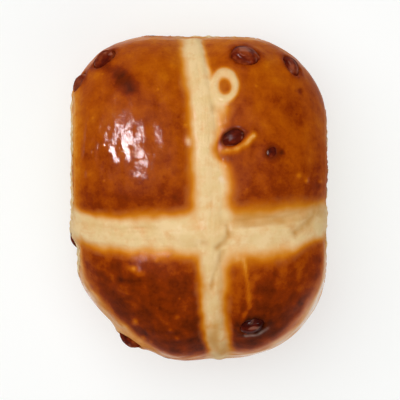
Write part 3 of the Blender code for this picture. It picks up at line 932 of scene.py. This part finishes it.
def raisin_piece(name, middle, axes, half, seed):
    """A dried grape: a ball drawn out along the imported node's axes to about the node's own reach.

    It has soft folds where two layers of noise cross zero, and broad hollows where a third one is high.
    """
    directions, quads = ball_grid(RAISIN_STEPS)
    drawn = directions * np.array([0.7, 1.2, 1.2]) + 10.0 * seed
    folds = noise(drawn, 0.8, 400 + seed)
    small = noise(drawn, 0.4, 500 + seed)
    hollows = smooth_step(0.0, 0.7, noise(drawn, 1.2, 700 + seed))
    # Painted shade darkens the folds.
    crease = np.maximum(0.45 * bell(folds, 0.18), 0.3 * bell(small, 0.16))
    radius = 1.0 - 0.04 * bell(folds, 0.24) - 0.02 * bell(small, 0.2) + 0.04 * small - 0.14 * hollows
    points = middle + (directions * radius[:, None] * half) @ axes.T

    # The painted milky reflection and painted glint spots, and the glaze's shine, which only the side turned
    # outwards has, most of all on the crown.
    light = noise(drawn, 0.9, 600 + seed) + PALENESS.get(name, OTHER_PALENESS)
    film = np.clip(PAINTED_SHEEN_RAISINS.get(name, 0.0) + 0.25 * light, 0.0, 0.7) * (name in PAINTED_SHEEN_RAISINS)
    film += 0.22 * smooth_step(0.25, 0.6, noise(drawn, 0.5, 800 + seed))
    outward = axes[:, 2] * np.sign(axes[:, 2] @ (middle - HEART))
    shine = smooth_step(0.35, 0.8, directions @ (axes.T @ outward))
    shine *= mix(0.3, 1.0, smooth_step(0.3, 0.75, outward[2]))
    return make_mesh(
        "fruit_" + name.removeprefix("raisin_"),
        points,
        facing_out(points, quads),
        crease=crease * (1.0 - film),
        blush=light,
        film=film,
        shine=shine,
    )


# ------------------------- materials


class Nodes:
    """A short way to write a node tree: each call adds one node and returns its first output."""

    def __init__(self, name):
        self.material = bpy.data.materials.new(name)
        self.material.use_nodes = True
        self.tree = self.material.node_tree
        self.shader = self.tree.nodes["Principled BSDF"]
        self.object_place = self.tree.nodes.new("ShaderNodeTexCoord").outputs["Object"]

    def put(self, socket, value):
        """Links a socket to another one, or sets it to a number or colour."""
        if isinstance(value, bpy.types.NodeSocket):
            self.tree.links.new(value, socket)
        else:
            socket.default_value = value

    def field(self, name):
        """One of the piece's own fields, a number on every point."""
        node = self.tree.nodes.new("ShaderNodeAttribute")
        node.attribute_name = name
        return node.outputs["Fac"]

    def math(self, operation, a, b=0.0, clamp=False):
        node = self.tree.nodes.new("ShaderNodeMath")
        node.operation = operation
        node.use_clamp = clamp
        self.put(node.inputs[0], a)
        self.put(node.inputs[1], b)
        return node.outputs[0]

    def add(self, a, b):
        return self.math("ADD", a, b)

    def take(self, a, b):
        return self.math("SUBTRACT", a, b)

    def times(self, a, b, clamp=False):
        return self.math("MULTIPLY", a, b, clamp)

    def blend(self, share, a, b):
        """Mixes two colours."""
        node = self.tree.nodes.new("ShaderNodeMix")
        node.data_type = "RGBA"
        self.put(node.inputs["Factor"], share)
        self.put(node.inputs[6], a)
        self.put(node.inputs[7], b)
        return node.outputs[2]

    def ramp(self, value, stops):
        """The colour at value, blended between stops of position and colour."""
        node = self.tree.nodes.new("ShaderNodeValToRGB")
        while len(node.color_ramp.elements) < len(stops):
            node.color_ramp.elements.new(0.5)
        for element, (position, colour) in zip(node.color_ramp.elements, stops):
            element.position = position
            element.color = colour if len(colour) == 4 else (*colour, 1.0)
        self.put(node.inputs[0], value)
        return node.outputs[0]

    def stretch(self, scale):
        """The place on the object, stretched along each axis."""
        node = self.tree.nodes.new("ShaderNodeMapping")
        node.inputs["Scale"].default_value = scale
        self.put(node.inputs["Vector"], self.object_place)
        return node.outputs[0]

    def noise(self, scale, detail=3.0, roughness=0.55, place=None):
        """Noise whose lumps are 1/scale metres apart."""
        node = self.tree.nodes.new("ShaderNodeTexNoise")
        self.put(node.inputs["Vector"], place or self.object_place)
        node.inputs["Scale"].default_value = scale
        node.inputs["Detail"].default_value = detail
        node.inputs["Roughness"].default_value = roughness
        return node.outputs["Fac"]

    def spots(self, scale, size, chance):
        """Small round spots: 1 at a cell's point, 0 past size of a cell, in the given share of cells."""
        node = self.tree.nodes.new("ShaderNodeTexVoronoi")
        self.put(node.inputs["Vector"], self.object_place)
        node.inputs["Scale"].default_value = scale
        near = self.times(self.take(size, node.outputs["Distance"]), 1.0 / size, clamp=True)
        split = self.tree.nodes.new("ShaderNodeSeparateColor")
        self.put(split.inputs[0], node.outputs["Color"])
        chosen = self.math("LESS_THAN", split.outputs[0], chance)
        return self.times(near, chosen)

    def bump(self, height, strength, distance, normal=None):
        node = self.tree.nodes.new("ShaderNodeBump")
        node.inputs["Strength"].default_value = strength
        node.inputs["Distance"].default_value = distance
        self.put(node.inputs["Height"], height)
        if normal is not None:
            self.put(node.inputs["Normal"], normal)
        return node.outputs[0]

    def set(self, **values):
        """Sets the shader's sockets by name, with _ for each space."""
        for key, value in values.items():
            self.put(self.shader.inputs[key.replace("_", " ")], value)


def grey(share):
    """A grey from 0, black, to 1, white."""
    return (share, share, share, 1.0)


# The baked colours from nearly burnt to the cream of the paste.
BAKED = (
    (0.00, (0.040, 0.0055, 0.0009)),
    (0.08, (0.091, 0.0116, 0.0008)),
    (0.17, (0.153, 0.0180, 0.0006)),
    (0.27, (0.246, 0.0290, 0.0005)),
    (0.37, (0.386, 0.0648, 0.0006)),
    (0.45, (0.468, 0.0976, 0.0008)),
    (0.54, (0.564, 0.1440, 0.0016)),
    (0.63, (0.658, 0.2230, 0.0130)),
    (0.72, (0.730, 0.3050, 0.0580)),
    (0.80, (0.775, 0.3920, 0.1270)),
    (0.88, (0.807, 0.4790, 0.2020)),
    (1.00, (0.862, 0.6180, 0.3150)),
)
# Open crumb from its pores, darkened with painted shade, to its walls, and raisin skin from its dark patches to
# its thin ones.
CRUMB = ((0.45, (0.64, 0.36, 0.12)), (0.62, (0.85, 0.60, 0.30)), (0.85, (0.92, 0.74, 0.46)))
RAISIN_SKIN = (
    (0.1, (0.035, 0.0045, 0.0030)),
    (0.3, (0.085, 0.0085, 0.0035)),
    (0.5, (0.165, 0.0165, 0.0040)),
    (0.68, (0.28, 0.046, 0.010)),
)
GOLDEN_CLOUDS = (0.79, 0.56, 0.25, 1.0)
GOLDEN_SHADE_AND_STAIN = (0.53, 0.21, 0.012, 1.0)
PAINTED_SHEEN_COLOUR = (0.98, 0.79, 0.66, 1.0)
RAISIN_FOLD_SHADE = (0.062, 0.0055, 0.003, 1.0)
RAISIN_PAINTED_SHEEN = (0.60, 0.30, 0.20, 1.0)


def dough_colours(nodes):
    """The baked colour of the tone field, mottled, with freckles and a few tiny pale blisters."""
    mottle = nodes.take(nodes.noise(300.0, 5.0, 0.62), 0.5)
    grain = nodes.take(nodes.noise(1500.0, 2.0, 0.6), 0.5)
    change = nodes.add(nodes.times(mottle, 0.32), nodes.times(grain, 0.1))
    change = nodes.add(change, nodes.times(nodes.spots(330.0, 0.2, 0.16), 0.14))
    change = nodes.take(change, nodes.times(nodes.spots(460.0, 0.26, 0.2), 0.07))
    # Where the paste's colour fades out, the fade is left smooth.
    fading = nodes.take(nodes.times(nodes.field("paste"), 2.0), 1.0)
    calm = nodes.times(fading, fading)
    tone = nodes.add(nodes.field("tone"), nodes.times(change, calm))
    baked = nodes.ramp(tone, BAKED)
    cloudy = nodes.ramp(nodes.noise(260.0, 3.0, 0.6), ((0.42, grey(0.0)), (0.62, grey(0.6))))
    cloudy = nodes.times(nodes.times(nodes.field("paste"), calm), cloudy)
    baked = nodes.blend(cloudy, baked, GOLDEN_CLOUDS)
    # Painted highlights and reflections, milky white.
    baked = nodes.blend(nodes.field("film"), baked, PAINTED_SHEEN_COLOUR)
    # Golden darkening: painted shade in the dents and on the right arm's back, and stains on the front arm.
    return nodes.blend(nodes.field("shade_and_stain"), baked, GOLDEN_SHADE_AND_STAIN)


def dough_material(name, coat_roughness):
    """Baked dough: glazed where it is crust, dull and streaky where it is paste, and open crumb where it is torn."""
    nodes = Nodes(name)
    torn = nodes.field("torn")
    paste = nodes.field("paste")
    crumb_pores = nodes.noise(1.0, 5.0, 0.7, nodes.stretch((900.0, 900.0, 500.0)))
    # The crumb is darker where its bump sinks into pores: painted shade, over patches of random tone.
    crumb_shade = nodes.add(nodes.noise(260.0, 4.0, 0.6), nodes.times(crumb_pores, 0.35))
    nodes.set(Base_Color=nodes.blend(torn, dough_colours(nodes), nodes.ramp(crumb_shade, CRUMB)))
    streaks = nodes.noise(1.0, 3.0, 0.55, nodes.stretch((700.0, 260.0, 300.0)))
    wrinkles = nodes.noise(520.0, 3.0, 0.6)
    pores = nodes.noise(1700.0, 3.0, 0.7)
    height = nodes.add(nodes.times(streaks, 0.55), nodes.times(wrinkles, 0.4))
    height = nodes.add(height, nodes.times(pores, 0.16))
    height = nodes.times(height, nodes.add(0.72, nodes.times(paste, 0.4)))
    height = nodes.add(height, nodes.times(nodes.spots(330.0, 0.2, 0.16), 0.3))
    rough_height = nodes.times(crumb_pores, nodes.times(torn, 2.4))
    normal = nodes.bump(nodes.add(height, rough_height), 0.9, 0.00025)
    patchy = nodes.ramp(nodes.noise(300.0), ((0.3, grey(0.6)), (0.5, grey(1.0))))
    roughness = nodes.add(0.5, nodes.times(torn, 0.4))
    nodes.set(
        Normal=normal,
        Coat_Normal=normal,
        Roughness=nodes.take(roughness, nodes.times(paste, 0.05)),
        Coat_Weight=nodes.times(nodes.field("gloss"), patchy),
        Coat_Roughness=coat_roughness,
        Coat_IOR=1.42,
        Specular_IOR_Level=0.03,
    )
    return nodes.material


def raisin_material():
    """Wrinkled skin, dark and patchy, with painted shade in its folds and painted milky reflections and glints."""
    nodes = Nodes("raisin_skin")
    patches = nodes.add(nodes.noise(380.0, 3.0, 0.6), nodes.times(nodes.field("blush"), 0.25))
    folded = nodes.blend(nodes.field("crease"), nodes.ramp(patches, RAISIN_SKIN), RAISIN_FOLD_SHADE)
    nodes.set(Base_Color=nodes.blend(nodes.field("film"), folded, RAISIN_PAINTED_SHEEN))
    height = nodes.add(nodes.noise(900.0, 3.0, 0.6), nodes.times(nodes.noise(2600.0, 2.0), 0.4))
    normal = nodes.bump(height, 0.6, 0.00015)
    nodes.set(
        Normal=normal,
        Coat_Normal=normal,
        Roughness=nodes.ramp(nodes.noise(600.0), ((0.3, grey(0.3)), (0.7, grey(0.5)))),
        Coat_Weight=nodes.times(nodes.field("shine"), 0.2),
        Coat_Roughness=0.16,
        Specular_IOR_Level=0.0,
    )
    return nodes.material


# ------------------------- stage, lights and camera

BUN_MIDDLE = (0.0, 0.0, 0.03)
# The camera's distance from the bun, how far it stands aside, and the height of what it takes in, in metres.
CAMERA_DISTANCE = 1.2
CAMERA_ASIDE = (-0.036, 0.0456)
FRAME_HEIGHT = 0.1115


def floor_piece():
    """A plain pale tabletop: one square face, just below the bun."""
    reach, level = 3000.0, -0.05
    corners = [(x, y, level) for x, y in ((-reach, -reach), (reach, -reach), (reach, reach), (-reach, reach))]
    floor = make_mesh("tabletop", np.array(corners), np.array([[0, 1, 2, 3]]))
    nodes = Nodes("tabletop")
    nodes.set(Base_Color=grey(0.4), Roughness=0.6, Specular_IOR_Level=0.1)
    nodes.set(Emission_Color=(0.985, 1.0, 0.98, 1.0), Emission_Strength=0.59)
    floor.data.materials.append(nodes.material)
    floor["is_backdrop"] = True


def area_light(name, place, size, power, colour=(1.0, 1.0, 1.0), glossy=False, diffuse=True):
    """A flat rectangular lamp that faces the bun's middle. glossy and diffuse say which looks it adds to."""
    lamp = bpy.data.lights.new(name, "AREA")
    lamp.shape = "RECTANGLE"
    lamp.size, lamp.size_y = size
    lamp.energy = power
    lamp.color = colour
    made = bpy.data.objects.new(name, lamp)
    made.location = place
    made.rotation_euler = (Vector(BUN_MIDDLE) - Vector(place)).to_track_quat("-Z", "Y").to_euler()
    made.visible_glossy = glossy
    made.visible_diffuse = diffuse
    bpy.context.scene.collection.objects.link(made)


def light_stage():
    """Soft light from a wide sky and a fill, and a narrow window that only the glaze mirrors."""
    window_colour = (0.97, 0.93, 0.96)
    area_light("window", (-0.47, 0.21, 0.90), (0.09, 0.36), 7.0, window_colour, glossy=True, diffuse=False)
    area_light("sky", (-0.38, 0.42, 1.25), (1.7, 1.7), 21.5)
    area_light("fill", (0.55, -0.7, 0.95), (1.5, 1.5), 6.6)
    world = bpy.data.worlds.new("studio")
    world.use_nodes = True
    background = world.node_tree.nodes["Background"]
    background.inputs["Color"].default_value = (0.95, 0.96, 1.0, 1.0)
    background.inputs["Strength"].default_value = 0.06
    world.cycles_visibility.glossy = False
    bpy.context.scene.world = world


def camera_above():
    """Straight above with a long lens, a little to the bun's back left, as over the middle of a tray of buns."""
    middle = np.mean(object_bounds(), axis=0)
    lens = bpy.data.cameras.new("camera")
    lens.sensor_width = 36.0
    lens.lens = lens.sensor_width * CAMERA_DISTANCE / FRAME_HEIGHT
    lens.clip_start = 0.05
    camera = bpy.data.objects.new("camera", lens)
    aim = Vector((middle[0], middle[1], BUN_MIDDLE[2]))
    camera.location = aim + Vector((*CAMERA_ASIDE, CAMERA_DISTANCE))
    back = (camera.location - aim).normalized()
    right = Vector((0.0, 1.0, 0.0)).cross(back).normalized()
    camera.rotation_euler = Matrix((right, back.cross(right), back)).transposed().to_euler()
    bpy.context.scene.collection.objects.link(camera)
    bpy.context.scene.camera = camera


# ------------------------- the whole


def main():
    raisins = raisin_frames()
    crust = crust_piece(raisins)
    crust.data.materials.append(dough_material("glazed_crust", coat_roughness=0.09))
    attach(crust, "root")
    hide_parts("bun")

    cross = paste_piece(raisins)
    cross.data.materials.append(dough_material("flour_paste", coat_roughness=0.2))
    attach(cross, "root")
    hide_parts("cross")

    skin = raisin_material()
    for seed, (name, (middle, axes, half)) in enumerate(sorted(raisins.items())):
        fruit = raisin_piece(name, middle, axes, half, seed)
        fruit.data.materials.append(skin)
        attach(fruit, "root")
        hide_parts(name)

    floor_piece()
    light_stage()
    camera_above()
    bpy.context.scene.view_settings.view_transform = "Standard"


main()
